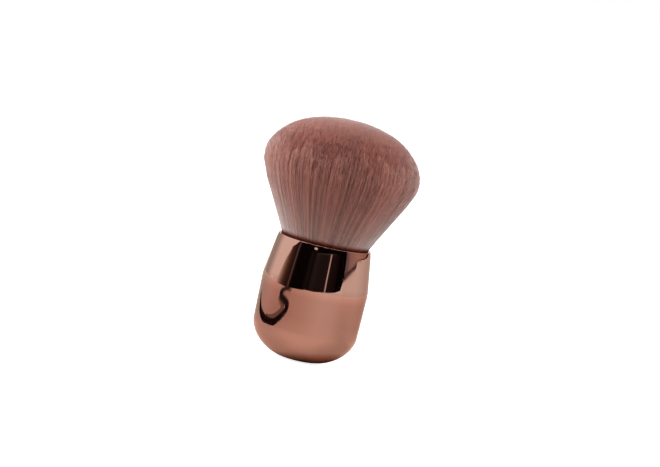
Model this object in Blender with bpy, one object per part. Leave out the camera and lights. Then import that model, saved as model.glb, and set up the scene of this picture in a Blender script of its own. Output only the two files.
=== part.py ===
# Nail brush: a plated cup handle that holds a flared, domed tuft of bristles.
# Metres, +Z up. The origin is the middle of the flat that the handle stands on.

import math

import bmesh
import bpy
from mathutils import Matrix, Vector
from mathutils.geometry import delaunay_2d_cdt

# Handle shell, outside
HANDLE_HEIGHT = 0.0405
BASE_FLAT_RADIUS = 0.0045
BASE_ROUND_HEIGHT = 0.0110
BASE_ROUND_POWER = 1.85  # 2 would be a quarter of an ellipse
BELLY_RADIUS = 0.0177
SHOULDER_HEIGHT = 0.0262
SHOULDER_SWELL = 0.0003  # how far the shoulder stands out from the belly
SHOULDER_FILLET = 0.0160
CONE_INSET = 0.00185  # how much smaller the lip is than the belly
LIP_FILLET = 0.0003

# Handle shell, inside
LIP_WALL = 0.00065
MOUTH_CHAMFER = 0.0003
FLOOR_THICKNESS = 0.0026
BOWL_POWER = 2.3
BOWL_RISE = 0.0013  # how far the bowl's top lies above the outer rounding's
SEAT_RISE = 0.0007  # from the bowl's top up to the liner's seat
SEAT_WIDTH = 0.0007

# Inner liner: a tube with a web across it, a pocket above and a skirt below
FIT_GAP = 0.0003  # between any two pieces that seat on or in each other
LINER_WALL = 0.0009
LINER_TOP_DEPTH = 0.0018  # below the lip
POCKET_DEPTH = 0.0128
WEB_THICKNESS = 0.0012
VENT_RADIUS = 0.0020
LEAD_IN = 0.0004
GLUE_GROOVES = 3
GLUE_GROOVE_WIDTH = 0.0010
GLUE_GROOVE_DEPTH = 0.0003
GLUE_GROOVE_SPACING = 0.0030

# Counterweight and resin
WEIGHT_THICKNESS = 0.0055
WEIGHT_CHAMFER = 0.0005
RESIN_THICKNESS = 0.0023
BEAD_RADIUS = 0.0030
BEAD_THICKNESS = 0.0008

# Binding thread round the bristle roots
THREAD_DIAMETER = 0.0005
THREAD_PITCH = 0.00095
THREAD_TURNS = 4
THREAD_FLANGE = 0.0006  # root left below the winding

# Bristle tuft
TUFT_RADIUS = 0.0264
WIDEST_ABOVE_LIP = 0.0240
DOME_HEIGHT = 0.0177
FLARE_BELOW_LIP = 0.0012  # the root ends here, and the bristles spread, this far inside the mouth
FLARE_END_BELOW_WIDEST = 0.0020
STRAND_SPACING = 0.00114
STRAND_FILL = 0.85  # a strand's width as a share of the spacing
PAD_MARGIN = 0.00005  # root left between its rim and the strands
STRAND_TIP_LENGTH = 0.0048
RING_TWIST = math.radians(137.5)  # turns each ring against the last, so no rows line up

# Facets
HANDLE_SIDES = 80
INNER_SIDES = 40
ROUND_STEPS = 9
FILLET_STEPS = 4
THREAD_POINTS_PER_TURN = 24
WELD = 1e-6
SHARP_ANGLE = math.radians(28)

# Radii and heights that follow from the sizes above
lip_radius = BELLY_RADIUS - CONE_INSET
mouth_radius = lip_radius - LIP_WALL
bore_radius = mouth_radius - MOUTH_CHAMFER
bowl_radius = bore_radius - SEAT_WIDTH
bowl_top = BASE_ROUND_HEIGHT + BOWL_RISE
seat_height = bowl_top + SEAT_RISE

liner_radius = bore_radius - FIT_GAP
pocket_radius = liner_radius - LINER_WALL
liner_top = HANDLE_HEIGHT - LINER_TOP_DEPTH
liner_bottom = seat_height + FIT_GAP
web_top = liner_top - POCKET_DEPTH
web_bottom = web_top - WEB_THICKNESS

root_radius = pocket_radius - FIT_GAP
resin_bottom = web_top + FIT_GAP
resin_top = resin_bottom + RESIN_THICKNESS
winding_height = THREAD_TURNS * THREAD_PITCH + THREAD_DIAMETER
groove_height = winding_height + 2 * FIT_GAP
groove_depth = THREAD_DIAMETER + FIT_GAP
root_bottom = resin_top + FIT_GAP
root_top = HANDLE_HEIGHT - FLARE_BELOW_LIP

core_radius = root_radius / 3
middle_radius = 2 * core_radius
pad_reach = STRAND_FILL * STRAND_SPACING / 2
widest_height = HANDLE_HEIGHT + WIDEST_ABOVE_LIP
flare_end = widest_height - FLARE_END_BELOW_WIDEST


def clear_scene():
    for old in list(bpy.data.objects):
        bpy.data.objects.remove(old)


def material(name, colour, roughness, metallic=0.0):
    made = bpy.data.materials.new(name)
    made.use_nodes = True
    shader = made.node_tree.nodes["Principled BSDF"]
    shader.inputs["Base Color"].default_value = (*colour, 1.0)
    shader.inputs["Roughness"].default_value = roughness
    shader.inputs["Metallic"].default_value = metallic
    return made


def place(name, shape, finish):
    """Turns a bmesh into a named object, smooth apart from its real edges."""
    mesh = bpy.data.meshes.new(name)
    shape.to_mesh(mesh)
    shape.free()
    mesh.shade_smooth()
    mesh.set_sharp_from_angle(angle=SHARP_ANGLE)
    mesh.materials.append(finish)
    made = bpy.data.objects.new(name, mesh)
    bpy.context.collection.objects.link(made)
    return made


def quarter_round(inner_radius, low, outer_radius, high, power, share=1.0):
    """(radius, height) points that sweep out and up from a flat to a wall. A share under 1 stops below the wall."""
    points = []
    for step in range(ROUND_STEPS + 1):
        turn = share * math.pi / 2 * step / ROUND_STEPS
        out = math.sin(turn) ** (2 / power)
        up = 1 - max(0.0, math.cos(turn)) ** (2 / power)
        points.append((inner_radius + (outer_radius - inner_radius) * out, low + (high - low) * up))
    return points


def fillet(before, corner, after, radius):
    """(radius, height) points of the arc that rounds a corner, no larger than the two walls leave room for."""
    here = Vector(corner)
    back, ahead = Vector(before) - here, Vector(after) - here
    half = back.angle(ahead) / 2
    reach = min(radius / math.tan(half), 0.45 * back.length, 0.45 * ahead.length)
    back.normalize()
    ahead.normalize()
    centre = here + (back + ahead).normalized() * reach / math.cos(half)
    start, end = here + back * reach - centre, here + ahead * reach - centre
    points = []
    for step in range(FILLET_STEPS + 1):
        spoke = start.slerp(end, step / FILLET_STEPS) * start.length
        points.append(tuple(centre + spoke))
    return points


def turned(outline, sides):
    """Spins (radius, height) points about Z. The outline closes on itself, or starts and ends on the axis."""
    shape = bmesh.new()
    corners = [shape.verts.new((radius, 0, height)) for radius, height in outline]
    pairs = list(zip(corners, corners[1:]))
    if outline[0][0] > 0:
        pairs.append((corners[-1], corners[0]))
    edges = [shape.edges.new(pair) for pair in pairs]
    bmesh.ops.spin(
        shape,
        geom=corners + edges,
        axis=(0, 0, 1),
        cent=(0, 0, 0),
        angle=math.tau,
        steps=sides,
        use_merge=True,
    )
    bmesh.ops.remove_doubles(shape, verts=shape.verts, dist=WELD)
    bmesh.ops.recalc_face_normals(shape, faces=shape.faces)
    return shape


def bowl_share():
    """How far up the bowl's curve the counterweight's rim reaches."""
    left = 1 - WEIGHT_THICKNESS / (bowl_top - FLOOR_THICKNESS)
    return math.acos(left ** (BOWL_POWER / 2)) / (math.pi / 2)


def handle_shell(finish):
    """One moulding: rounded base, straight belly, soft shoulder and a cone up to a thin lip, with a stepped bore."""
    belly_top = (BELLY_RADIUS, BASE_ROUND_HEIGHT)
    shoulder = (BELLY_RADIUS + SHOULDER_SWELL, SHOULDER_HEIGHT)
    lip = (lip_radius, HANDLE_HEIGHT)
    mouth = (mouth_radius, HANDLE_HEIGHT)
    outside = [(0.0, 0.0)]
    outside += quarter_round(BASE_FLAT_RADIUS, 0.0, *belly_top, BASE_ROUND_POWER)
    outside += fillet(belly_top, shoulder, lip, SHOULDER_FILLET)
    outside += fillet(shoulder, lip, mouth, LIP_FILLET)
    inside = quarter_round(BASE_FLAT_RADIUS, FLOOR_THICKNESS, bowl_radius, bowl_top, BOWL_POWER)
    inside += [(bowl_radius, seat_height), (bore_radius, seat_height)]
    inside += [(bore_radius, HANDLE_HEIGHT - MOUTH_CHAMFER), mouth]
    outline = outside + inside[::-1] + [(0.0, FLOOR_THICKNESS)]
    return place("handle_shell", turned(outline, HANDLE_SIDES), finish)


def counterweight(finish):
    """A slug cast to fit the bowl at the bottom of the shell."""
    low, high = FLOOR_THICKNESS + FIT_GAP, bowl_top + FIT_GAP
    flat, rim = BASE_FLAT_RADIUS - FIT_GAP, bowl_radius - FIT_GAP
    under = quarter_round(flat, low, rim, high, BOWL_POWER, bowl_share())
    rim_radius, rim_height = under[-1]
    top = rim_height + WEIGHT_CHAMFER
    outline = [(0.0, low), *under, (rim_radius - WEIGHT_CHAMFER, top), (0.0, top)]
    return place("counterweight", turned(outline, INNER_SIDES), finish)


def glue_grooves():
    """The liner's outer wall from the top down, notched by the glue grooves round its pocket."""
    wall = []
    middle = (liner_top + web_top) / 2
    first = middle + GLUE_GROOVE_SPACING * (GLUE_GROOVES - 1) / 2
    for index in range(GLUE_GROOVES):
        height = first - index * GLUE_GROOVE_SPACING
        top, bottom = height + GLUE_GROOVE_WIDTH / 2, height - GLUE_GROOVE_WIDTH / 2
        deep = liner_radius - GLUE_GROOVE_DEPTH
        wall += [(liner_radius, top), (deep, top), (deep, bottom), (liner_radius, bottom)]
    return wall


def inner_liner(finish):
    """The tube pressed into the shell: it stands on the seat, and its pocket holds the bristles."""
    outline = [(pocket_radius + LEAD_IN, liner_top), (liner_radius, liner_top)]
    outline += glue_grooves()
    outline += [(liner_radius, liner_bottom), (pocket_radius, liner_bottom)]
    outline += [(pocket_radius, web_bottom), (VENT_RADIUS, web_bottom)]
    outline += [(VENT_RADIUS, web_top), (pocket_radius, web_top)]
    outline += [(pocket_radius, liner_top - LEAD_IN)]
    return place("inner_liner", turned(outline, INNER_SIDES), finish)


def resin_bed(finish):
    """Potting resin under the roots. A bead that ran through the vent locks it to the web."""
    stem, bead = VENT_RADIUS - FIT_GAP, max(BEAD_RADIUS, VENT_RADIUS)
    bead_top = web_bottom - FIT_GAP
    outline = [(0.0, bead_top - BEAD_THICKNESS), (bead, bead_top - BEAD_THICKNESS), (bead, bead_top)]
    outline += [(stem, bead_top), (stem, resin_bottom), (root_radius, resin_bottom)]
    outline += [(root_radius, resin_top), (0.0, resin_top)]
    return place("resin_bed", turned(outline, INNER_SIDES), finish)


def thread_route():
    """The middle line of the thread: a helix in the groove of the root."""
    radius = root_radius - THREAD_DIAMETER / 2
    start = root_bottom + THREAD_FLANGE + FIT_GAP + THREAD_DIAMETER / 2
    route = []
    for index in range(THREAD_TURNS * THREAD_POINTS_PER_TURN + 1):
        turns = index / THREAD_POINTS_PER_TURN
        angle = math.tau * turns
        route.append(Vector((radius * math.cos(angle), radius * math.sin(angle), start + turns * THREAD_PITCH)))
    return route


def least_gap(route):
    """The least clear width between the thread and itself, measured from point to point."""
    apart = THREAD_POINTS_PER_TURN // 2
    nearest = min((there - here).length for i, here in enumerate(route) for there in route[i + apart :])
    return nearest - THREAD_DIAMETER


def root_binding(finish):
    """Thread wound round the roots, as one unbroken tube."""
    route = thread_route()
    print("root_binding, least gap to itself", round(least_gap(route) * 1000, 2), "mm")
    curve = bpy.data.curves.new("root_binding", "CURVE")
    curve.dimensions = "3D"
    curve.bevel_depth = THREAD_DIAMETER / 2
    curve.bevel_resolution = 1
    curve.use_fill_caps = True
    spline = curve.splines.new("POLY")
    spline.points.add(len(route) - 1)
    for point, place_on_route in zip(spline.points, route):
        point.co = (*place_on_route, 1)
    curve.materials.append(finish)
    made = bpy.data.objects.new("root_binding", curve)
    bpy.context.collection.objects.link(made)
    return made


def rim_of(outer_radius):
    """How far out the pads may reach on a root slice, whose edge is a polygon."""
    return outer_radius * math.cos(math.pi / INNER_SIDES) - PAD_MARGIN


def spread_at(height):
    """How much wider the tuft is than its root: an even flare up to the widest part, then straight up."""
    share = min(1.0, (height - root_top) / (flare_end - root_top))
    return 1 + (TUFT_RADIUS / rim_of(root_radius) - 1) * share


def dome_height(share):
    """The height of the dome over a point that lies this share of the way out from the axis."""
    return widest_height + DOME_HEIGHT * math.sqrt(1 - share * share)


def strand_places(inner_radius, outer_radius):
    """(radius, angle) of each strand in a band of the tuft: rings of evenly spaced strands."""
    half_side = pad_reach * math.sin(math.pi / 3)
    furthest = math.sqrt(rim_of(outer_radius) ** 2 - half_side**2) - pad_reach * math.cos(math.pi / 3)
    nearest = inner_radius + pad_reach + PAD_MARGIN
    gaps = max(1, round((furthest - nearest) / STRAND_SPACING))
    places = []
    for ring in range(gaps + 1):
        radius = nearest + (furthest - nearest) * ring / gaps
        count = max(3, math.floor(math.tau * radius / STRAND_SPACING))
        offset = RING_TWIST * radius / STRAND_SPACING
        places += [(radius, offset + math.tau * index / count) for index in range(count)]
    return places


def pad_corners(radius, angle):
    """The three corners of the pad that a strand grows from, with a flat side outwards."""
    middle = Matrix.Rotation(angle, 2) @ Vector((radius, 0.0))
    spoke = Vector((pad_reach, 0.0))
    return [middle + Matrix.Rotation(angle + math.tau * (k + 0.5) / 3, 2) @ spoke for k in range(3)]


def tile_top(shape, places):
    """Tiles the flat top of a root slice again so that each strand has a pad there. Returns the pads in order."""
    top = [face for face in shape.faces if all(v.co.z > root_top - WELD for v in face.verts)]
    rim = {edge for face in top for edge in face.edges if sum(f in top for f in edge.link_faces) == 1}
    bmesh.ops.delete(shape, geom=top, context="FACES")
    corners = list({corner for edge in rim for corner in edge.verts})
    number = {corner: index for index, corner in enumerate(corners)}
    limits = [(number[edge.verts[0]], number[edge.verts[1]]) for edge in rim]
    first_pad_corner = len(corners)
    flat = [corner.co.xy for corner in corners]
    for radius, angle in places:
        flat += pad_corners(radius, angle)
    corners += [shape.verts.new((point.x, point.y, root_top)) for point in flat[first_pad_corner:]]
    starts = range(first_pad_corner, len(flat), 3)
    sides = [(start + k, start + (k + 1) % 3) for start in starts for k in range(3)]
    tiles = delaunay_2d_cdt(flat, limits + sides, [], 0, WELD)[2]
    inner = inner_rim(corners[:first_pad_corner])
    pads = {}
    for tile in tiles:
        if all(corner in inner for corner in tile):
            continue
        face = shape.faces.new([corners[index] for index in tile])
        low = min(tile)
        if low >= first_pad_corner and max(tile) - low == 2 and (low - first_pad_corner) % 3 == 0:
            pads[low] = face
    return [pads[start] for start in starts]


def inner_rim(corners):
    """Which of the rim's corners lie round the hole of a ring, as their numbers. A disc has none."""
    far = max(corner.co.xy.length for corner in corners)
    return {index for index, corner in enumerate(corners) if corner.co.xy.length < far - WELD}


def move_section(face, radius, angle, height, size):
    """Puts the end of a strand at its place, and gives it its size."""
    middle = face.calc_center_median()
    target = Vector((radius * math.cos(angle), radius * math.sin(angle), height))
    for corner in face.verts:
        corner.co = target + (corner.co - middle) * size


def grow_strand(shape, pad, radius, angle):
    """Extrudes one strand out of its pad: out along the flare, then up to a point on the dome."""
    tip_height = dome_height(radius / root_radius)
    shoulder = tip_height - STRAND_TIP_LENGTH
    spread = spread_at(shoulder)
    pad = bmesh.ops.extrude_discrete_faces(shape, faces=[pad])["faces"][0]
    move_section(pad, radius * spread, angle, shoulder, spread)
    tip = bmesh.ops.poke(shape, faces=[pad])["verts"][0]
    tip.co = (radius * spread * math.cos(angle), radius * spread * math.sin(angle), tip_height)


def root_slice(inner_radius, outer_radius, groove):
    """The resin-bound root of one band of the tuft. The outer band's has the groove for the thread."""
    wall = [(outer_radius, root_bottom)]
    if groove:
        low = root_bottom + THREAD_FLANGE
        high = low + groove_height
        waist = outer_radius - groove_depth
        wall += [(outer_radius, low), (waist, low), (waist, high), (outer_radius, high)]
    wall += [(outer_radius, root_top)]
    return turned([(inner_radius, root_bottom), *wall, (inner_radius, root_top)], INNER_SIDES)


def bristle_band(name, finish, inner_radius, outer_radius, groove=False):
    """One ring of the tuft: its strands, fused to a slice of the root."""
    shape = root_slice(inner_radius, outer_radius, groove)
    places = strand_places(inner_radius, outer_radius)
    pads = tile_top(shape, places)
    for pad, (radius, angle) in zip(pads, places):
        grow_strand(shape, pad, radius, angle)
    bmesh.ops.recalc_face_normals(shape, faces=shape.faces)
    print(name, len(places), "strands")
    return place(name, shape, finish)


def build():
    clear_scene()
    plating = material("rose_gold_plating", (0.72, 0.42, 0.33), 0.08, 1.0)
    dark_plastic = material("dark_brown_plastic", (0.05, 0.022, 0.016), 0.45)
    steel = material("zinc_plated_steel", (0.55, 0.56, 0.58), 0.35, 1.0)
    amber_resin = material("amber_resin", (0.62, 0.45, 0.22), 0.2)
    thread = material("white_thread", (0.8, 0.78, 0.74), 0.8)
    fibre = material("dusky_pink_fibre", (0.42, 0.22, 0.19), 0.5)
    handle_shell(plating)
    counterweight(steel)
    inner_liner(dark_plastic)
    resin_bed(amber_resin)
    root_binding(thread)
    bristle_band("bristles_core", fibre, 0.0, core_radius)
    bristle_band("bristles_middle", fibre, core_radius + FIT_GAP, middle_radius)
    bristle_band("bristles_outer", fibre, middle_radius + FIT_GAP, root_radius, groove=True)


build()
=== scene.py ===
import math
import random

import bmesh
import bpy
from mathutils import Matrix, Vector
from mathutils.kdtree import KDTree


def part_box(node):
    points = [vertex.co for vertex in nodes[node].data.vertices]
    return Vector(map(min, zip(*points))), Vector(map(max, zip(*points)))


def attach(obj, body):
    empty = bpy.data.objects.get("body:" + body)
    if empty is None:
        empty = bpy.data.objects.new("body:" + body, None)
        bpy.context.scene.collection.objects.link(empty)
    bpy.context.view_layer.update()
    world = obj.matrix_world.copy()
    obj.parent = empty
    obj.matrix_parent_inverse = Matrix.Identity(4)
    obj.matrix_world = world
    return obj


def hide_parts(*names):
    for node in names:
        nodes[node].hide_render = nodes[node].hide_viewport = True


# Nail brush: a rose gold plated cup handle that holds a flared, domed tuft of bristles.
# Metres, +Z up. The brush stands on its flat, and the picture is tilted instead.

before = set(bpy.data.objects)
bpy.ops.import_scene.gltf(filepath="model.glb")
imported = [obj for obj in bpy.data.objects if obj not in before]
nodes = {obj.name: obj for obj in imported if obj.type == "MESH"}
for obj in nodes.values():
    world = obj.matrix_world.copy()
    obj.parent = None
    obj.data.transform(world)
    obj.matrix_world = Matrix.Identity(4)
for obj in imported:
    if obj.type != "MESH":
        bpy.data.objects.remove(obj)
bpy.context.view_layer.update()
print("frame loaded:", len(nodes), "nodes")


# The photograph's view

view = {
    "imageWidth": 660,
    "imageHeight": 467,
    "pixelsPerMetre": 3000,  # on the brush's axis
    "distance": 1.0,
    "elevation": math.radians(6.5),
    "lean": math.radians(13),  # how far the brush leans to the right in the picture
    "lipPixel": (325.0, 241.5),  # where the middle of the lip's circle lies
    "sensorWidth": 36,
    "clipStart": 0.05,
}


def makeCamera():
    lip = Vector((0, 0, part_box("handle_shell")[1].z))
    ahead = Vector((0, math.cos(view["elevation"]), -math.sin(view["elevation"])))
    levelRight = Vector((1, 0, 0))
    levelUp = levelRight.cross(ahead)
    right = levelRight * math.cos(view["lean"]) + levelUp * math.sin(view["lean"])
    up = levelUp * math.cos(view["lean"]) - levelRight * math.sin(view["lean"])
    across = (view["imageWidth"] / 2 - view["lipPixel"][0]) / view["pixelsPerMetre"]
    above = (view["lipPixel"][1] - view["imageHeight"] / 2) / view["pixelsPerMetre"]
    aim = lip + right * across + up * above
    camera = bpy.data.objects.new("camera", bpy.data.cameras.new("camera"))
    bpy.context.scene.collection.objects.link(camera)
    place = Matrix((right, up, -ahead)).transposed().to_4x4()
    place.translation = aim - ahead * view["distance"]
    camera.matrix_world = place
    widthSeen = view["imageWidth"] / view["pixelsPerMetre"]
    camera.data.sensor_width = view["sensorWidth"]
    camera.data.lens = view["sensorWidth"] * view["distance"] / widthSeen
    camera.data.clip_start = view["clipStart"]
    bpy.context.scene.camera = camera
    print("camera ready, lens", round(camera.data.lens, 1))


# Helpers for materials and meshes

weldDistance = 1e-6
sharpAngle = math.radians(35)
patternRange = (0.3, 0.7)  # where most of a pattern's values lie


# A Principled material. A socket's name is given in camelCase.
def newMaterial(name, **sockets):
    made = bpy.data.materials.new(name)
    made.use_nodes = True
    shader = made.node_tree.nodes["Principled BSDF"]
    for socket in shader.inputs:
        words = socket.name.split()
        key = words[0].lower() + "".join(word.capitalize() for word in words[1:])
        if key in sockets:
            socket.default_value = sockets[key]
    return made, shader


# A node of this kind, with its settings, and its inputs linked or set by name.
def addNode(material, kind, inputs=(), **settings):
    tree = material.node_tree
    node = tree.nodes.new(kind)
    for name, value in settings.items():
        setattr(node, name, value)
    for name, source in dict(inputs).items():
        if hasattr(source, "is_output"):
            tree.links.new(source, node.inputs[name])
        else:
            node.inputs[name].default_value = source
    return node


def plug(material, source, shader, socket):
    material.node_tree.links.new(source, shader.inputs[socket])


# Maps a value from one (low, high) range to another, and stops at the ends.
def addRange(material, value, before, after=(0.0, 1.0)):
    limits = {"From Min": before[0], "From Max": before[1], "To Min": after[0], "To Max": after[1]}
    return addNode(material, "ShaderNodeMapRange", {"Value": value, **limits}).outputs["Result"]


# A colour ramp from (place, colour) stops, places from 0 to 1.
def addRamp(material, source, stops):
    node = addNode(material, "ShaderNodeValToRGB", {"Fac": source})
    ends = node.color_ramp.elements
    while len(ends) < len(stops):
        ends.new(0.5)
    for end, (place, colour) in zip(ends, stops):
        end.position = place
        end.color = (*colour, 1)
    return node.outputs["Color"]


def dull(material, shader, pattern, values, roughness):
    plug(material, addRange(material, pattern, values, roughness), shader, "Roughness")


def dent(material, shader, pattern, depth):
    bump = addNode(material, "ShaderNodeBump", {"Height": pattern, "Strength": 1.0, "Distance": depth})
    plug(material, bump.outputs["Normal"], shader, "Normal")


# Drives roughness and bump from one pattern, so that dull spots and dents go together.
def roughen(material, shader, pattern, roughness, depth):
    dull(material, shader, pattern, patternRange, roughness)
    dent(material, shader, pattern, depth)


def objectPlaces(material):
    return addNode(material, "ShaderNodeTexCoord").outputs["Object"]


def addNoise(material, places, scale, detail):
    inputs = {"Vector": places, "Scale": scale, "Detail": detail}
    return addNode(material, "ShaderNodeTexNoise", inputs).outputs["Fac"]


def toMesh(name, shape):
    mesh = bpy.data.meshes.new(name)
    shape.to_mesh(mesh)
    shape.free()
    return mesh


# Makes the bmesh a smooth, named piece that rides with the brush.
def finishPiece(name, shape, materials, stands):
    mesh = toMesh(name, shape)
    mesh.shade_smooth()
    for material in materials:
        mesh.materials.append(material)
    piece = bpy.data.objects.new(name, mesh)
    bpy.context.scene.collection.objects.link(piece)
    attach(piece, "root")
    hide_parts(*stands)
    return piece


# Spins (radius, height) points about the brush's axis into a closed shape.
def turnProfile(points, sides):
    shape = bmesh.new()
    corners = [shape.verts.new((point[0], 0, point[1])) for point in points]
    for one, other in zip(corners, corners[1:]):
        shape.edges.new((one, other))
    if points[0][0] > 0:
        shape.edges.new((corners[-1], corners[0]))
    bmesh.ops.spin(
        shape,
        geom=shape.verts[:] + shape.edges[:],
        axis=(0, 0, 1),
        cent=(0, 0, 0),
        angle=math.tau,
        steps=sides,
        use_merge=True,
    )
    bmesh.ops.remove_doubles(shape, verts=shape.verts, dist=weldDistance)
    bmesh.ops.recalc_face_normals(shape, faces=shape.faces)
    return shape


# Plated handle

handle = {
    "height": 0.0405,
    "flatRadius": 0.0045,
    "roundHeight": 0.0110,
    "roundPower": 1.85,  # 2 would be a quarter of an ellipse
    "bellyRadius": 0.0177,
    "shoulderHeight": 0.0262,
    "shoulderRadius": 0.0180,
    "shoulderFillet": 0.0160,
    "easeRadius": 0.01612,  # a soft band just under the lip
    "easeHeight": 0.0386,
    "easeRound": 0.0150,
    "lipRadius": 0.01572,
    "lipRound": 0.0002,
    "boreRadius": 0.0149,
    "seatHeight": 0.0130,
    "bowlRadius": 0.0142,
    "bowlTop": 0.0123,
    "bowlPower": 2.3,
    "floorThickness": 0.0026,
    "sides": 240,
    "roundSteps": 40,
    "filletSteps": 14,
    "bowlSteps": 10,
    "platingTones": [  # from the top of the base's round up to the lip, darker on the belly as painted shade for the darker floor it mirrors
        (0.0, (0.380, 0.199, 0.153)), (0.40, (0.404, 0.209, 0.164)),
        (0.58, (0.580, 0.326, 0.252)), (1.0, (0.600, 0.338, 0.262)),
    ],
    "platingEdge": (0.90, 0.80, 0.75, 1),  # its tint where it is seen at a slant
    "smudgeScale": 160.0,
    "smudgeDetail": 4.0,
    "smudgeValues": (0.35, 0.75),  # of the pattern, from clean to smudged
    "smudgeRoughness": (0.03, 0.07),
    "rippleScale": 75.0,
    "rippleDetail": 1.0,
    "rippleDepth": 0.000025,
}


# Points from the flat (radius, height) low out and up to high, along a rounded corner.
def sweep(low, high, power, steps):
    points = []
    for step in range(steps + 1):
        turn = math.pi / 2 * step / steps
        out = math.sin(turn) ** (2 / power)
        up = 1 - max(0.0, math.cos(turn)) ** (2 / power)
        points.append(Vector((low[0] + (high[0] - low[0]) * out, low[1] + (high[1] - low[1]) * up)))
    return points


def roundedCorner(before, corner, after, radius, steps):
    here = Vector(corner)
    back, ahead = Vector(before) - here, Vector(after) - here
    half = back.angle(ahead) / 2
    reach = radius / math.tan(half)
    back.normalize()
    ahead.normalize()
    centre = here + (back + ahead).normalized() * reach / math.cos(half)
    start, end = here + back * reach - centre, here + ahead * reach - centre
    return [centre + start.slerp(end, step / steps) * start.length for step in range(steps + 1)]


def platingMaterial():
    material, shader = newMaterial("roseGoldPlating", metallic=1.0, specularTint=handle["platingEdge"])
    places = objectPlaces(material)
    height = addNode(material, "ShaderNodeSeparateXYZ", {"Vector": places}).outputs["Z"]
    climb = addRange(material, height, (handle["roundHeight"], handle["height"]))
    # The ramp by height holds painted shade: the belly is darker because it mirrors the darker floor.
    plug(material, addRamp(material, climb, handle["platingTones"]), shader, "Base Color")
    smudges = addNoise(material, places, handle["smudgeScale"], handle["smudgeDetail"])
    dull(material, shader, smudges, handle["smudgeValues"], handle["smudgeRoughness"])
    ripples = addNoise(material, places, handle["rippleScale"], handle["rippleDetail"])
    dent(material, shader, ripples, handle["rippleDepth"])
    return material


def makeHandle():
    bellyTop = (handle["bellyRadius"], handle["roundHeight"])
    shoulder = (handle["shoulderRadius"], handle["shoulderHeight"])
    ease = (handle["easeRadius"], handle["easeHeight"])
    lip = (handle["lipRadius"], handle["height"])
    mouth = (handle["boreRadius"], handle["height"])
    outside = [(0.0, 0.0)]
    outside += sweep((handle["flatRadius"], 0.0), bellyTop, handle["roundPower"], handle["roundSteps"])
    outside += roundedCorner(bellyTop, shoulder, ease, handle["shoulderFillet"], handle["filletSteps"])
    outside += roundedCorner(shoulder, ease, lip, handle["easeRound"], handle["filletSteps"])
    outside += roundedCorner(ease, lip, mouth, handle["lipRound"], handle["filletSteps"])
    inside = sweep(
        (handle["flatRadius"], handle["floorThickness"]),
        (handle["bowlRadius"], handle["bowlTop"]),
        handle["bowlPower"],
        handle["bowlSteps"],
    )
    inside += [(handle["bowlRadius"], handle["seatHeight"]), (handle["boreRadius"], handle["seatHeight"])]
    inside.append(mouth)
    profile = outside + inside[::-1] + [(0.0, handle["floorThickness"])]
    shape = turnProfile(profile, handle["sides"])
    piece = finishPiece("handleShell", shape, [platingMaterial()], ["handle_shell"])
    piece.data.set_sharp_from_angle(angle=sharpAngle)
    print("handle turned:", len(piece.data.polygons), "faces")


# Bristle tuft

tuft = {
    "seed": 41,
    "rootHeight": 0.0391,
    "rootRadius": 0.0139,
    "throatHeight": 0.0410,
    "throatRadius": 0.0148,
    "flare": 0.5405,  # metres out for each metre up
    "widestHeight": 0.0645,
    "widestRadius": 0.0265,
    "bend": 0.0006,  # how softly the flare turns upright
    "domeHeight": 0.0178,
    "domePower": 2.15,
    "levels": (0.0, 0.20, 0.45, 0.72, 0.975, 1.0),  # where a fibre's sections lie along it
    "thickness": (0.8, 1.2),  # the thinnest and the thickest fibre, as shares of the ring's radius
    "taper": 0.05,  # how much thinner each level is
    "turnShare": 0.618034,  # of a turn, from each place on the tuft to the next
    "fibreJitter": 0.6,  # how far fibres, and the spots they gather to, stray from an even spread
    "spotJitter": 0.35,
    "spotDrift": 0.5,
    # Fibres gather to small clumps and wide locks, and share their tone. The crown is smoother than
    # the sides.
    "clumps": {"count": 2800, "pull": 0.45, "crownPull": 0.22, "vary": (0.5, 1.3), "tone": 0.5},
    "locks": {"count": 300, "pull": 0.14, "crownPull": 0.03, "vary": (0.7, 1.2), "tone": 0.4},
    "pullPower": 1.6,  # above 1 the pull grows towards the tips
    "stray": 0.006,
    "ownTone": 0.16,
    "crownVary": 0.5,  # how unlike the crown's fibres are in tone. The sides' have 1.
    "troughFrom": 0.74,  # the dome sinks a little here, behind the skirt
    "troughTo": 0.89,
    "troughDepth": 0.0005,
    "toneShift": 0.14,  # how far a lock's tone moves the border between two looks
    "lengthShift": 0.05,  # and how far a clump's length does
    "tipUneven": 0.00012,
    "skirtUneven": 0.0026,  # how unlike the skirt's fibres are in length
    "toneStep": 1 / 64,  # the width of a fibre's side on its map
    "mapMargin": 0.002,  # left free at the map's two ends
    "formShare": 0.7,  # how far the fibres shade as one soft form
    "crownStretch": 2.0,  # how much height counts in that form, above the widest part and below it
    "flareStretch": 0.47,
    # Painted shade and painted light: locks outside this share of the radius are darker or paler by their
    # direction, as (degrees to the right of the camera's line, spread, change of tone)
    "shadesFrom": 0.6,
    "shades": [(-60, 8, -0.20), (-20, 7, -0.25), (9, 5, -0.30), (38, 8, 0.35)],
}

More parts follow.
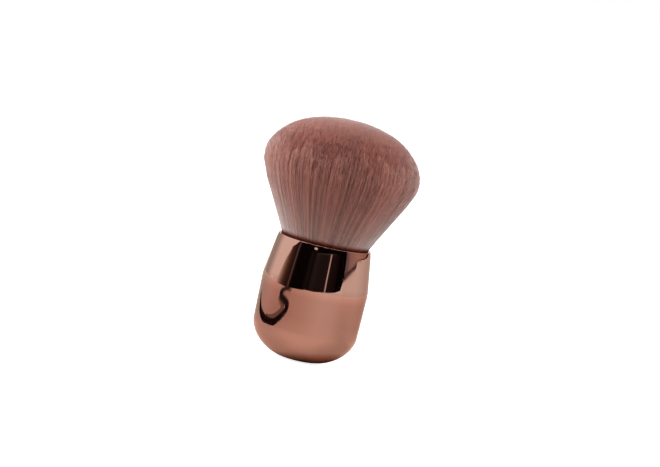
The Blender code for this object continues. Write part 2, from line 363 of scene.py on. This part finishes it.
# Rings of the tuft, from its axis to its rim. Each is a piece, as shares of the tuft's radius.
rings = {
    "fibresCore": {"from": 0.0, "to": 0.333, "count": 4400, "radius": 0.00009, "node": "bristles_core"},
    "fibresMiddle1": {"from": 0.333, "to": 0.53, "count": 6000, "radius": 0.00009, "node": "bristles_middle"},
    "fibresMiddle2": {"from": 0.53, "to": 0.667, "count": 6000, "radius": 0.00009, "node": "bristles_middle"},
    "fibresTrough1": {"from": 0.667, "to": 0.79, "count": 7000, "radius": 0.00008, "node": "bristles_outer"},
    "fibresTrough2": {"from": 0.79, "to": 0.88, "count": 7000, "radius": 0.00008, "node": "bristles_outer"},
    "fibresSkirt1": {"from": 0.88, "to": 0.93, "count": 6600, "radius": 0.00007, "node": "bristles_outer"},
    "fibresSkirt2": {"from": 0.93, "to": 0.965, "count": 6600, "radius": 0.00007, "node": "bristles_outer"},
    "fibresSkirt3": {"from": 0.965, "to": 0.985, "count": 6600, "radius": 0.000065, "node": "bristles_outer"},
    "fibresSkirt4": {"from": 0.985, "to": 1.0, "count": 6600, "radius": 0.000065, "node": "bristles_outer"},
}

# Colours from root to tip, as (share of the length, colour)
# Dark at the root: painted shade for the shadowed throat just inside the lip.
shadedRootColour = (0.10, 0.014, 0.006)
looks = {
    "crown": [
        (0.0, shadedRootColour),
        (0.06, shadedRootColour),
        (0.12, (0.22, 0.09, 0.066)),
        (0.7, (0.25, 0.08, 0.056)),
        (0.9, (0.32, 0.090, 0.060)),
        (1.0, (0.385, 0.132, 0.096)),
    ],
    # The trough's darker, redder colours are painted shade in the hollow behind the skirt, on top of the real
    # shade its shorter fibres get.
    "trough": [
        (0.0, shadedRootColour),
        (0.065, shadedRootColour),
        (0.12, (0.22, 0.095, 0.072)),
        (0.6, (0.22, 0.065, 0.042)),
        (0.9, (0.27, 0.062, 0.038)),
        (1.0, (0.31, 0.080, 0.053)),
    ],
    "skirt": [
        (0.0, shadedRootColour),
        (0.085, shadedRootColour),
        (0.125, (0.22, 0.100, 0.078)),
        (0.3, (0.215, 0.086, 0.062)),
        (0.6, (0.225, 0.073, 0.050)),
        (0.9, (0.28, 0.090, 0.061)),
        (1.0, (0.39, 0.142, 0.106)),
    ],
}


# The tuft's outline: a short throat, an even flare and a soft turn upright.
def outlineRadius(height):
    if height < tuft["throatHeight"]:
        share = (height - tuft["rootHeight"]) / (tuft["throatHeight"] - tuft["rootHeight"])
        return tuft["rootRadius"] + (tuft["throatRadius"] - tuft["rootRadius"]) * share
    straight = tuft["throatRadius"] + tuft["flare"] * (height - tuft["throatHeight"])
    short = (tuft["widestRadius"] - straight) / tuft["bend"]
    softened = math.log1p(math.exp(-abs(short))) + max(0.0, short)
    return tuft["widestRadius"] - tuft["bend"] * softened


def domeTop(share):
    power = tuft["domePower"]
    return tuft["widestHeight"] + tuft["domeHeight"] * max(0.0, 1 - share**power) ** (1 / power)


def flatPoint(share, angle):
    return Vector((share * math.cos(angle), share * math.sin(angle), 0))


# The direction of each of many places that lie evenly round the tuft.
def spreadAngle(rng, index, count, jitter):
    return math.tau * (index * tuft["turnShare"] + jitter * rng.random() / math.sqrt(count))


# Even places over a ring of the tuft, as (share of the way out, angle).
def scatter(rng, ring):
    places = []
    for index in range(ring["count"]):
        area = (index + rng.random()) / ring["count"]
        share = math.sqrt(ring["from"] ** 2 + area * (ring["to"] ** 2 - ring["from"] ** 2))
        places.append((share, spreadAngle(rng, index, ring["count"], tuft["fibreJitter"])))
    return places


# How much painted shade or painted light the locks get here.
def paintedShadeAt(spot):
    aside = math.degrees(math.atan2(spot.x, -spot.y))
    return sum(change * math.exp(-((aside - at) / spread) ** 2) for at, spread, change in tuft["shades"])


# Points that the fibres gather to, each with a tone, and a tree to find the nearest.
def makeGatherings(rng, count):
    tree = KDTree(count)
    spots = []
    for index in range(count):
        share = math.sqrt((index + 0.5) / count)
        angle = spreadAngle(rng, index, count, tuft["spotJitter"])
        drift = rng.uniform(-tuft["spotDrift"], tuft["spotDrift"]) / math.sqrt(count)
        spot = flatPoint(min(1.0, share + drift), angle)
        tone = rng.random()
        # Painted shade or painted light, added to the lock's own random tone.
        if share > tuft["shadesFrom"]:
            tone += paintedShadeAt(spot)
        spots.append({"spot": spot, "tone": tone, "length": rng.uniform(-1, 1)})
        tree.insert(spot, index)
    tree.balance()
    return spots, tree


def pickLook(share):
    if share < tuft["troughFrom"]:
        return "crown"
    return "trough" if share < tuft["troughTo"] else "skirt"


def drawPull(rng, gathering, look):
    return gathering["crownPull" if look == "crown" else "pull"] * rng.uniform(*gathering["vary"])


# The middle of a fibre's sections, from its root to its tip, with its tone and its look.
def fibreRoute(rng, share, own, clump, lock):
    look = pickLook(share + tuft["toneShift"] * (lock["tone"] - 0.5) + tuft["lengthShift"] * clump["length"])
    clumpPull = drawPull(rng, tuft["clumps"], look)
    lockPull = drawPull(rng, tuft["locks"], look)
    short = tuft["tipUneven"] * abs(rng.gauss(0, 1))
    short += tuft["tipUneven"] * (1 + clump["length"]) * rng.random()
    if look == "trough":
        short += tuft["troughDepth"] * rng.random()
    elif look == "skirt":
        short += tuft["skirtUneven"] * rng.random() ** 2
    stray = Vector((rng.gauss(0, 1), rng.gauss(0, 1), 0)) * tuft["stray"]
    tip = domeTop(share) - short
    route = []
    for along in tuft["levels"]:
        height = tuft["rootHeight"] + (tip - tuft["rootHeight"]) * along
        grow = along ** tuft["pullPower"]
        at = own.lerp(clump["spot"], clumpPull * grow).lerp(lock["spot"], lockPull * grow)
        at = at + stray * along
        if at.length > 1.0:
            at.normalize()
        route.append(at * outlineRadius(height) + Vector((0, 0, height)))
    shared = tuft["clumps"]["tone"] * (clump["tone"] - 0.5) + tuft["locks"]["tone"] * (lock["tone"] - 0.5)
    vary = tuft["crownVary"] if look == "crown" else 1.0
    tone = 0.5 + vary * (shared + tuft["ownTone"] * rng.gauss(0, 1))
    return route, min(1.0, max(0.0, tone)), look


# Fibres of one ring: three-sided seeds, extruded level by level and drawn out to points.
def growFibres(ring, rng, gatherings):
    (clumps, clumpTree), (locks, lockTree) = gatherings
    shape = bmesh.new()
    along = shape.verts.layers.float.new("along")
    tone = shape.verts.layers.float.new("tone")
    side = shape.verts.layers.float.new("side")
    routes = []
    for share, angle in scatter(rng, ring):
        spot = flatPoint(share, angle)
        clump, lock = clumps[clumpTree.find(spot)[1]], locks[lockTree.find(spot)[1]]
        route, shade, look = fibreRoute(rng, share, spot, clump, lock)
        width = ring["radius"] * rng.uniform(*tuft["thickness"])
        turn = rng.uniform(0, math.tau)
        spokes = [flatPoint(width, turn + math.tau * index / 3) for index in range(3)]
        corners = [shape.verts.new(route[0] + spoke) for spoke in spokes]
        for index, corner in enumerate(corners):
            corner[tone] = shade * (1 - 2 * tuft["toneStep"])
            corner[side] = index * tuft["toneStep"]
        shape.faces.new(corners).material_index = list(looks).index(look)
        routes.append(route)
    ends = shape.faces[:]
    for level in range(1, len(tuft["levels"]) - 1):
        taper = 1 - tuft["taper"] * level
        ends = bmesh.ops.extrude_discrete_faces(shape, faces=ends)["faces"]
        for end, route in zip(ends, routes):
            centre = end.calc_center_median()
            for corner in end.verts:
                corner.co = route[level] + (corner.co - centre) * taper
                corner[along] = tuft["levels"][level]
    tips = bmesh.ops.poke(shape, faces=ends)["verts"]
    for tipPoint, route in zip(tips, routes):
        tipPoint.co = route[-1]
        tipPoint[along] = 1.0
    uvMap = shape.loops.layers.uv.new("OFBake")
    margin = tuft["mapMargin"]
    for face in shape.faces:
        for corner in face.loops:
            point = corner.vert
            corner[uvMap].uv = (margin + (1 - 2 * margin) * point[along], point[tone] + point[side])
    return shape


# Turns the fibres' normals part of the way to those of the whole tuft, so that its edges look soft.
def softenShading(mesh):
    turned = []
    for vertex in mesh.vertices:
        rise = vertex.co.z - tuft["widestHeight"]
        rise *= tuft["crownStretch" if rise > 0 else "flareStretch"]
        form = Vector((vertex.co.x, vertex.co.y, rise)).normalized()
        turned.append(vertex.normal.lerp(form, tuft["formShare"]).normalized())
    mesh.normals_split_custom_set_from_vertices(turned)


fibre = {
    "specular": 0.35,
    "sheen": {"crown": 0.38, "trough": 0.75, "skirt": 1.0},  # how pale the edges of the form look
    "sheenRoughness": 0.46,
    "sheenFrom": (0.08, 0.14),  # along the fibre, where the sheen sets in above the root's painted shade
    "tones": (0.6, 1.4),  # how bright the darkest and the palest fibre are
    "grainStretch": (90, 9, 1),
    "grainDetail": 2.0,
    "grainDepth": 0.000006,
    "roughness": (0.38, 0.55),
}


def fibreMaterial(look, colours):
    gloss = {"specularIorLevel": fibre["specular"], "sheenRoughness": fibre["sheenRoughness"]}
    material, shader = newMaterial(look + "Fibre", **gloss)
    places = addNode(material, "ShaderNodeUVMap", uv_map="OFBake").outputs["UV"]
    parts = addNode(material, "ShaderNodeSeparateXYZ", {"Vector": places}).outputs
    sheen = addRange(material, parts["X"], fibre["sheenFrom"], (0.0, fibre["sheen"][look]))
    plug(material, sheen, shader, "Sheen Weight")
    shade = addRange(material, parts["Y"], (0.0, 1.0), fibre["tones"])
    lengthwise = {"Color": addRamp(material, parts["X"], colours), "Value": shade}
    toned = addNode(material, "ShaderNodeHueSaturation", lengthwise).outputs["Color"]
    plug(material, toned, shader, "Base Color")
    stretch = {"Vector": places, "Scale": fibre["grainStretch"]}
    stretched = addNode(material, "ShaderNodeMapping", stretch).outputs["Vector"]
    grain = addNoise(material, stretched, 1.0, fibre["grainDetail"])
    roughen(material, shader, grain, fibre["roughness"], fibre["grainDepth"])
    return material


def makeTuft():
    rng = random.Random(tuft["seed"])
    gatherings = [makeGatherings(rng, tuft[kind]["count"]) for kind in ("clumps", "locks")]
    materials = [fibreMaterial(look, colours) for look, colours in looks.items()]
    for name, ring in rings.items():
        shape = growFibres(ring, rng, gatherings)
        piece = finishPiece(name, shape, materials, [ring["node"]])
        softenShading(piece.data)
        print(name, "grown:", ring["count"], "fibres,", len(piece.data.polygons), "faces")


# Bristle root, bound with thread and hidden in the handle

root = {
    "bottom": 0.0288,
    "top": 0.0393,
    "radius": 0.0134,
    "waist": 0.0126,
    "grooveBottom": 0.0294,
    "grooveTop": 0.0343,
    "sides": 96,
    "grainStretch": (4000, 4000, 300),
    "grainDetail": 1.0,
    "grainDepth": 0.00003,
    "tones": [(0.3, (0.10, 0.045, 0.035)), (0.7, (0.30, 0.16, 0.13))],
    "roughness": (0.5, 0.8),
}


def rootMaterial():
    material, shader = newMaterial("boundRoot")
    stretch = {"Vector": objectPlaces(material), "Scale": root["grainStretch"]}
    stretched = addNode(material, "ShaderNodeMapping", stretch).outputs["Vector"]
    grain = addNoise(material, stretched, 1.0, root["grainDetail"])
    plug(material, addRamp(material, grain, root["tones"]), shader, "Base Color")
    roughen(material, shader, grain, root["roughness"], root["grainDepth"])
    return material


def makeRoot():
    low, high = root["grooveBottom"], root["grooveTop"]
    profile = [(0.0, root["bottom"]), (root["radius"], root["bottom"]), (root["radius"], low)]
    profile += [(root["waist"], low), (root["waist"], high), (root["radius"], high)]
    profile += [(root["radius"], root["top"]), (0.0, root["top"])]
    shape = turnProfile(profile, root["sides"])
    covered = ["bristles_core", "bristles_middle", "bristles_outer"]
    piece = finishPiece("bristleRoot", shape, [rootMaterial()], covered)
    piece.data.set_sharp_from_angle(angle=sharpAngle)
    print("root turned:", len(piece.data.polygons), "faces")


# Finishes of the pieces inside the handle. One pattern drives each one's roughness and bump, and its colour
# where it has tones.

innerFinishes = {
    "counterweight": {
        "name": "turnedSteel",
        "sockets": {"metallic": 1.0, "baseColor": (0.55, 0.56, 0.58, 1)},
        "pattern": "ShaderNodeTexWave",
        "inputs": {"Scale": 900.0, "Distortion": 1.5, "Detail": 2.0},
        "settings": {"wave_type": "RINGS", "rings_direction": "Z"},
        "roughness": (0.22, 0.38),
        "depth": 0.000008,
    },
    # The liner's colour is a guess, made dark so that the gap above the lip shows painted shade.
    "inner_liner": {
        "name": "darkBrownPlastic",
        "pattern": "ShaderNodeTexNoise",
        "inputs": {"Scale": 2200.0, "Detail": 3.0},
        "tones": [(0.35, (0.030, 0.014, 0.011)), (0.65, (0.048, 0.023, 0.017))],
        "roughness": (0.38, 0.55),
        "depth": 0.00001,
    },
    "resin_bed": {
        "name": "amberResin",
        "sockets": {"coatWeight": 0.4},
        "pattern": "ShaderNodeTexNoise",
        "inputs": {"Scale": 380.0, "Detail": 4.0},
        "tones": [(0.35, (0.34, 0.19, 0.07)), (0.65, (0.58, 0.38, 0.17))],
        "roughness": (0.12, 0.28),
        "depth": 0.00003,
    },
    "root_binding": {
        "name": "bindingThread",
        "pattern": "ShaderNodeTexWave",
        "inputs": {"Scale": 1500.0, "Distortion": 3.0, "Detail": 2.0},
        "settings": {"bands_direction": "DIAGONAL"},
        "tones": [(0.2, (0.52, 0.48, 0.42)), (0.8, (0.80, 0.77, 0.71))],
        "roughness": (0.7, 0.9),
        "depth": 0.00004,
    },
}


def innerMaterial(finish):
    material, shader = newMaterial(finish["name"], **finish.get("sockets", {}))
    inputs = {"Vector": objectPlaces(material), **finish["inputs"]}
    pattern = addNode(material, finish["pattern"], inputs, **finish.get("settings", {})).outputs["Fac"]
    if "tones" in finish:
        plug(material, addRamp(material, pattern, finish["tones"]), shader, "Base Color")
    roughen(material, shader, pattern, finish["roughness"], finish["depth"])
    return material


def finishInnerPieces():
    for name, finish in innerFinishes.items():
        material = innerMaterial(finish)
        for place in nodes[name].material_slots:
            place.material = material
    print("inner pieces finished:", len(innerFinishes))


# Studio

studio = {
    "ambient": 0.58,
    "floorSize": 12,
    "floorColour": (0.80, 0.80, 0.80),
    "floorGlow": 0.82,  # lifts the floor to white in the picture, and most of its shadow
    "contactAt": (0.004, 0.001, 0),  # centre of the painted contact shadow that the plating shows of the floor, from the foot outwards
    "contactTo": 0.0175,
    "contactTones": [
        (0.0, (0.16, 0.060, 0.043)), (0.425, (0.16, 0.060, 0.043)), (0.64, (0.68, 0.39, 0.27)),
        (0.87, (0.98, 0.85, 0.78)),
    ],
    "nearTo": (0.025, 0.10),
    # Painted reflection: the floor's tones by direction, as only the plating sees them.
    "middleTones": [
        (-180, (0.52, 0.50, 0.46)), (-134, (0.49, 0.50, 0.465)), (-97, (0.70, 0.55, 0.53)),
        (-67, (0.62, 0.47, 0.43)), (-41, (0.63, 0.47, 0.42)), (-17, (0.70, 0.56, 0.49)),
        (0, (0.76, 0.65, 0.59)), (22, (0.84, 0.75, 0.70)), (41, (0.82, 0.73, 0.69)),
        (67, (0.81, 0.68, 0.62)), (97, (0.78, 0.66, 0.60)), (134, (0.59, 0.46, 0.39)),
        (180, (0.58, 0.52, 0.47)),
    ],
    "farTone": (0.15, 0.14, 0.14),  # for mirrors, painted so dark that the pools of lamplight don't show, with an even glow of its own
    "farTo": (0.22, 1.1),
    "farGlow": 0.72,
}

softboxes = {
    "keyLight": {"at": (-0.9, -1.5, 1.7), "size": 2.4, "power": 16, "mirrored": True},
    "sideLeft": {"at": (-1.2, 0.2, 0.45), "size": 0.9, "power": 23, "mirrored": False},
    "sideRight": {"at": (1.2, 0.2, 0.45), "size": 0.9, "power": 15, "mirrored": False},
}

# Glowing screens round the brush that only the plating shows and that light nothing: painted reflections of
# the room. A plan is a list of (degrees to the right of the camera's line, distance from the axis, foot and
# top above the floor). Tones are (degrees, colour).
screens = {
    "darkScreen": {
        "plan": [
            (-92, 0.215, 0, 0.035), (-84, 0.200, 0, 0.046), (-80, 0.195, 0, 0.052), (-75, 0.190, 0, 0.056),
            (-71.5, 0.184, 0, 0.060), (-69, 0.180, 0, 0.067), (-66, 0.175, 0, 0.076), (-61, 0.170, 0, 0.083),
            (-57, 0.167, 0, 0.092), (-50, 0.170, 0, 0.110), (-44, 0.178, 0, 0.120),
            (-37, 0.197, 0, 0.120), (-28, 0.205, 0, 0.085), (-18, 0.296, 0, 0.090), (-8, 0.312, 0, 0.0925),
            (1, 0.318, 0, 0.094), (11, 0.350, 0.008, 0.105), (20, 0.350, 0.016, 0.116),
            (30, 0.350, 0.0235, 0.123), (40, 0.350, 0.033, 0.129), (45.7, 0.350, 0.041, 0.131),
            (52.3, 0.350, 0.061, 0.131), (57.5, 0.350, 0.072, 0.131), (60.5, 0.350, 0.074, 0.131),
        ],
        "tones": [
            (-92, (1, 1, 1)), (-86, (0.85, 0.80, 0.76)), (-80, (0.45, 0.36, 0.30)), (-74, (0.17, 0.11, 0.08)),
            (-68, (0.07, 0.035, 0.025)), (-61, (0.03, 0.018, 0.015)), (-57.5, (0.03, 0.02, 0.02)),
            (-55.5, (0.16, 0.12, 0.12)), (-53, (0.015, 0.009, 0.009)), (-48, (0.004, 0.003, 0.003)),
            (-26, (0.004, 0.003, 0.003)), (-20, (0.014, 0.013, 0.013)), (-15, (0.006, 0.006, 0.006)),
            (-8, (0.026, 0.022, 0.024)), (2, (0.017, 0.015, 0.017)), (18, (0.020, 0.013, 0.016)),
            (20.7, (0.030, 0.020, 0.021)), (22.5, (0.95, 0.88, 0.87)), (24.3, (0.02, 0.012, 0.013)),
            (42, (0.010, 0.006, 0.006)), (44, (0.003, 0.002, 0.002)), (60.5, (0.003, 0.002, 0.002)),
        ],
    },
    "leftScreen": {
        "plan": [
            (-101, 0.40, 0, 0.022), (-96, 0.40, 0, 0.040), (-90, 0.40, 0, 0.050), (-76, 0.40, 0, 0.052),
            (-70, 0.40, 0, 0.050),
        ],
        "tones": [
            (-101, (0.98, 0.95, 0.93)), (-93, (0.93, 0.89, 0.86)), (-87, (0.68, 0.57, 0.50)),
            (-70, (0.66, 0.54, 0.47)),
        ],
    },
    "greyLine": {
        "plan": [
            (-12, 0.310, 0.0915, 0.0935), (-4, 0.314, 0.0925, 0.0970), (6, 0.330, 0.0985, 0.1045),
            (14, 0.349, 0.107, 0.114), (22, 0.349, 0.1165, 0.124), (30, 0.349, 0.1225, 0.128),
            (38, 0.349, 0.128, 0.130),
        ],
        "tones": [
            (-12, (0.03, 0.03, 0.03)), (4, (0.11, 0.10, 0.10)), (20, (0.16, 0.15, 0.15)),
            (38, (0.03, 0.02, 0.02)),
        ],
    },
    "upperScreen": {
        "plan": [
            (-66, 0.24, 0.05, 0.055), (-60, 0.24, 0.05, 0.075), (-55, 0.24, 0.05, 0.095),
            (-50, 0.24, 0.05, 0.125), (-45, 0.24, 0.06, 0.26), (-30, 0.26, 0.06, 0.28),
            (-10, 0.36, 0.08, 0.36), (10, 0.38, 0.08, 0.38), (30, 0.38, 0.08, 0.38), (60.5, 0.38, 0.08, 0.38),
        ],
        "tones": [
            (-66, (0.40, 0.30, 0.24)), (-62, (0.10, 0.055, 0.04)), (-57, (0.02, 0.012, 0.01)),
            (-50, (0.003, 0.002, 0.002)), (60.5, (0.003, 0.002, 0.002)),
        ],
    },
    "paleScreen": {
        "plan": [(degrees, 0.40, 0, 0.08) for degrees in (60.5, 80, 100, 120, 140, 160)],
        "tones": [
            (60.5, (0.90, 0.88, 0.87)), (100, (0.88, 0.87, 0.87)), (135, (0.66, 0.64, 0.64)),
            (160, (0.62, 0.60, 0.60)),
        ],
    },
    "warmScreen": {
        "plan": [
            (60.5, 0.350, 0.0735, 0.25), (69, 0.350, 0.0715, 0.25), (78, 0.350, 0.0685, 0.25),
            (84, 0.350, 0.0665, 0.25), (91.5, 0.350, 0.0635, 0.25), (93, 0.350, 0.0660, 0.25),
            (104, 0.350, 0.0585, 0.25), (117, 0.350, 0.0545, 0.25), (129, 0.350, 0.0530, 0.25),
            (143, 0.350, 0.0460, 0.25), (155, 0.350, 0.0440, 0.25),
        ],
        "edges": [0.0032] * 5 + [0.0045, 0.0075] + [0.0090] * 4,  # height of its dark lower edge
        "edgeTone": (0.045, 0.014, 0.009),
        "tones": [
            (60.5, (0.17, 0.13, 0.14)), (66, (0.21, 0.16, 0.18)), (71, (0.35, 0.26, 0.26)),
            (95, (0.52, 0.36, 0.33)), (115, (0.45, 0.27, 0.22)), (155, (0.45, 0.32, 0.28)),
        ],
    },
    "greyScreen": {
        "plan": [(degrees, 0.5, 0, 0.19) for degrees in (-170, -155, -140, -125, -110)],
        "tones": [(-170, (0.46, 0.48, 0.50)), (-130, (0.48, 0.50, 0.52)), (-110, (1, 1, 1))],
    },
}

# Glowing ribbons on the floor that only the plating shows and that light nothing, as a painted reflection:
# the belly shows them as a wavy line with a brown inner edge. Their routes are (x, y, width's share).
ribbons = {
    "darkRibbon": {
        "route": [
            (-0.112, -0.112, 0.8), (-0.130, -0.098, 1.1), (-0.139, -0.074, 1.3), (-0.138, -0.055, 1.4),
            (-0.124, -0.060, 1.5), (-0.106, -0.077, 1.5), (-0.090, -0.086, 1.45), (-0.080, -0.078, 1.35),
            (-0.077, -0.062, 1.25), (-0.075, -0.045, 1.25), (-0.072, -0.029, 1.4), (-0.076, -0.010, 1.5),
            (-0.082, 0.015, 1.4), (-0.085, 0.046, 1.2), (-0.092, 0.070, 0.9), (-0.097, 0.100, 0.6),
        ],
        "width": 0.012,
        "height": 0.0003,
        "tone": (0.015, 0.009, 0.010),
    },
    "brownRibbon": {
        "route": [
            (-0.127, -0.046, 0.5), (-0.113, -0.057, 0.9), (-0.100, -0.066, 1.1), (-0.091, -0.066, 1.2),
            (-0.088, -0.052, 1.2), (-0.085, -0.036, 1.3), (-0.085, -0.018, 1.1), (-0.089, 0.005, 0.6),
        ],
        "width": 0.012,
        "height": 0.00015,
        "tone": (0.33, 0.23, 0.19),
    },
}


def addStage(name, data, materials):
    for material in materials:
        data.materials.append(material)
    thing = bpy.data.objects.new(name, data)
    bpy.context.scene.collection.objects.link(thing)
    return thing


def showOnlyInPlating(thing):
    thing.visible_camera = False
    thing.visible_diffuse = False
    thing.visible_transmission = False
    thing.visible_volume_scatter = False
    thing.visible_shadow = False


def makeWorld():
    world = bpy.data.worlds.new("studioWorld")
    world.use_nodes = True
    bpy.context.scene.world = world
    background = world.node_tree.nodes["Background"]
    rays = addNode(world, "ShaderNodeLightPath").outputs
    seen = rays["Is Camera Ray"]
    for kind in ("Is Glossy Ray", "Is Transmission Ray"):
        seen = addNode(world, "ShaderNodeMath", {0: seen, 1: rays[kind]}, operation="MAXIMUM").outputs[0]
    plug(world, addRange(world, seen, (0.0, 1.0), (studio["ambient"], 1.0)), background, "Strength")
    background.inputs["Color"].default_value = (1, 1, 1, 1)


def mixColours(material, factor, first, second):
    inputs = {"Factor": factor, 6: first, 7: second}
    return addNode(material, "ShaderNodeMix", inputs, data_type="RGBA").outputs[2]


# Colours that follow the direction from the brush, in degrees to the right of the camera's line.
def directionTones(material, tones):
    parts = addNode(material, "ShaderNodeSeparateXYZ", {"Vector": objectPlaces(material)}).outputs
    turnedBack = addNode(material, "ShaderNodeMath", {0: parts["Y"], 1: -1}, operation="MULTIPLY").outputs[0]
    direction = addNode(material, "ShaderNodeMath", {0: parts["X"], 1: turnedBack}, operation="ARCTAN2")
    first, last = tones[0][0], tones[-1][0]
    share = addRange(material, direction.outputs[0], (math.radians(first), math.radians(last)))
    stops = [((degrees - first) / (last - first), colour) for degrees, colour in tones]
    return addRamp(material, share, stops)


def makeFloor():
    shape = bmesh.new()
    bmesh.ops.create_grid(shape, x_segments=1, y_segments=1, size=studio["floorSize"] / 2)
    matt = {"roughness": 1.0, "specularIorLevel": 0.0, "emissionColor": (1, 1, 1, 1)}
    material, shader = newMaterial("paleFloor", **matt)
    places = objectPlaces(material)
    rays = addNode(material, "ShaderNodeLightPath").outputs
    reach = addNode(material, "ShaderNodeVectorMath", {0: places}, operation="LENGTH").outputs["Value"]
    apart = {0: places, 1: studio["contactAt"]}
    aside = addNode(material, "ShaderNodeVectorMath", apart, operation="DISTANCE").outputs["Value"]
    # Glossy rays see the floor painted: a painted contact shadow at the foot, tones by direction, and a dark
    # far floor that glows evenly.
    foot = addRamp(material, addRange(material, aside, (0, studio["contactTo"])), studio["contactTones"])
    # Painted reflection of the room's tones by direction.
    around = directionTones(material, studio["middleTones"])
    middle = mixColours(material, addRange(material, reach, studio["nearTo"]), foot, around)
    far = addRange(material, reach, studio["farTo"])
    mirrored = mixColours(material, far, middle, (*studio["farTone"], 1))
    colour = mixColours(material, rays["Is Glossy Ray"], (*studio["floorColour"], 1), mirrored)
    plug(material, colour, shader, "Base Color")
    farGlow = addNode(material, "ShaderNodeMath", {0: far, 1: studio["farGlow"]}, operation="MULTIPLY")
    glows = {"Factor": rays["Is Camera Ray"], "A": farGlow.outputs[0], "B": studio["floorGlow"]}
    glow = addNode(material, "ShaderNodeMix", glows, data_type="FLOAT").outputs["Result"]
    plug(material, glow, shader, "Emission Strength")
    addStage("floor", toMesh("floor", shape), [material])


def glowMaterial(name, colour):
    material = bpy.data.materials.new(name)
    material.use_nodes = True
    tree = material.node_tree
    tree.nodes.remove(tree.nodes["Principled BSDF"])
    glow = addNode(material, "ShaderNodeEmission", {"Color": (*colour, 1)})
    tree.links.new(glow.outputs["Emission"], tree.nodes["Material Output"].inputs["Surface"])
    return material, glow


def screenMaterial(name, tones):
    material, glow = glowMaterial(name, tones[0][1])
    plug(material, directionTones(material, tones), glow, "Color")
    return material


# Raises a screen's last row of edges to these heights, as one band of its own paint.
def raiseBand(shape, edges, paint, heights):
    parts = bmesh.ops.extrude_edge_only(shape, edges=edges)["geom"]
    corners = [part for part in parts if isinstance(part, bmesh.types.BMVert)]
    for corner, height in zip(corners, heights):
        corner.co.z = height
    raised = [part for part in parts if isinstance(part, bmesh.types.BMEdge)]
    for edge in raised:
        edge.link_faces[0].material_index = paint
    return raised


# Stands a foot line over the floor and raises it to its top.
def makeScreen(name, screen):
    shape = bmesh.new()
    corners = []
    for degrees, distance, foot, top in screen["plan"]:
        angle = math.radians(degrees)
        corners.append(shape.verts.new((distance * math.sin(angle), -distance * math.cos(angle), foot)))
    edges = [shape.edges.new(pair) for pair in zip(corners, corners[1:])]
    materials = [screenMaterial(name + "Paint", screen["tones"])]
    if "edges" in screen:
        materials.append(glowMaterial(name + "EdgePaint", screen["edgeTone"])[0])
        feet = [foot for _, _, foot, _ in screen["plan"]]
        edges = raiseBand(shape, edges, 1, [foot + edge for foot, edge in zip(feet, screen["edges"])])
    raiseBand(shape, edges, 0, [top for _, _, _, top in screen["plan"]])
    showOnlyInPlating(addStage(name, toMesh(name, shape), materials))


def makeRibbon(name, ribbon):
    curve = bpy.data.curves.new(name, "CURVE")
    curve.dimensions = "3D"
    curve.bevel_depth = ribbon["width"] / 2
    curve.bevel_resolution = 1
    spline = curve.splines.new("NURBS")
    spline.points.add(len(ribbon["route"]) - 1)
    for point, (x, y, share) in zip(spline.points, ribbon["route"]):
        point.co = (x, y, 0, 1)
        point.radius = share
    spline.order_u = 3
    spline.use_endpoint_u = True
    laid = addStage(name, curve, [glowMaterial(name + "Paint", ribbon["tone"])[0]])
    laid.scale.z = ribbon["height"] / ribbon["width"]
    laid.location.z = ribbon["height"]
    showOnlyInPlating(laid)


# A small glowing disc in front of the dark screen that only the plating shows: a painted glint, which lights
# nothing
smallLamp = {
    "degrees": -16,
    "elevation": 16,
    "distance": 0.19,
    "radius": 0.013,
    "sides": 24,
    "squash": 0.22,
    "tone": (1, 0.95, 0.9),
}


def makeGlintDisc():
    shape = bmesh.new()
    bmesh.ops.create_circle(shape, cap_ends=True, segments=smallLamp["sides"], radius=smallLamp["radius"])
    glow = glowMaterial("smallLampGlow", smallLamp["tone"])[0]
    lamp = addStage("smallLamp", toMesh("smallLamp", shape), [glow])
    angle, slope = math.radians(smallLamp["degrees"]), math.radians(smallLamp["elevation"])
    away = Vector((math.sin(angle) * math.cos(slope), -math.cos(angle) * math.cos(slope), math.sin(slope)))
    lamp.location = Vector((0, 0, handle["easeHeight"])) + away * smallLamp["distance"]
    lamp.scale.y = smallLamp["squash"]
    lamp.rotation_mode = "QUATERNION"
    lamp.rotation_quaternion = away.to_track_quat("Z", "Y")
    showOnlyInPlating(lamp)


def makeSoftbox(name, settings):
    lamp = bpy.data.lights.new(name, "AREA")
    lamp.size = settings["size"]
    lamp.energy = settings["power"]
    box = bpy.data.objects.new(name, lamp)
    bpy.context.scene.collection.objects.link(box)
    box.location = settings["at"]
    aim = Vector((0, 0, tuft["throatHeight"])) - Vector(settings["at"])
    box.visible_glossy = settings["mirrored"]
    box.rotation_mode = "QUATERNION"
    box.rotation_quaternion = aim.to_track_quat("-Z", "Y")


def makeStudio():
    makeWorld()
    makeFloor()
    for name, screen in screens.items():
        makeScreen(name, screen)
    for name, ribbon in ribbons.items():
        makeRibbon(name, ribbon)
    makeGlintDisc()
    for name, settings in softboxes.items():
        makeSoftbox(name, settings)
    bpy.context.scene.view_settings.view_transform = "Standard"
    print("studio ready")


makeCamera()
makeHandle()
makeTuft()
makeRoot()
finishInnerPieces()
makeStudio()
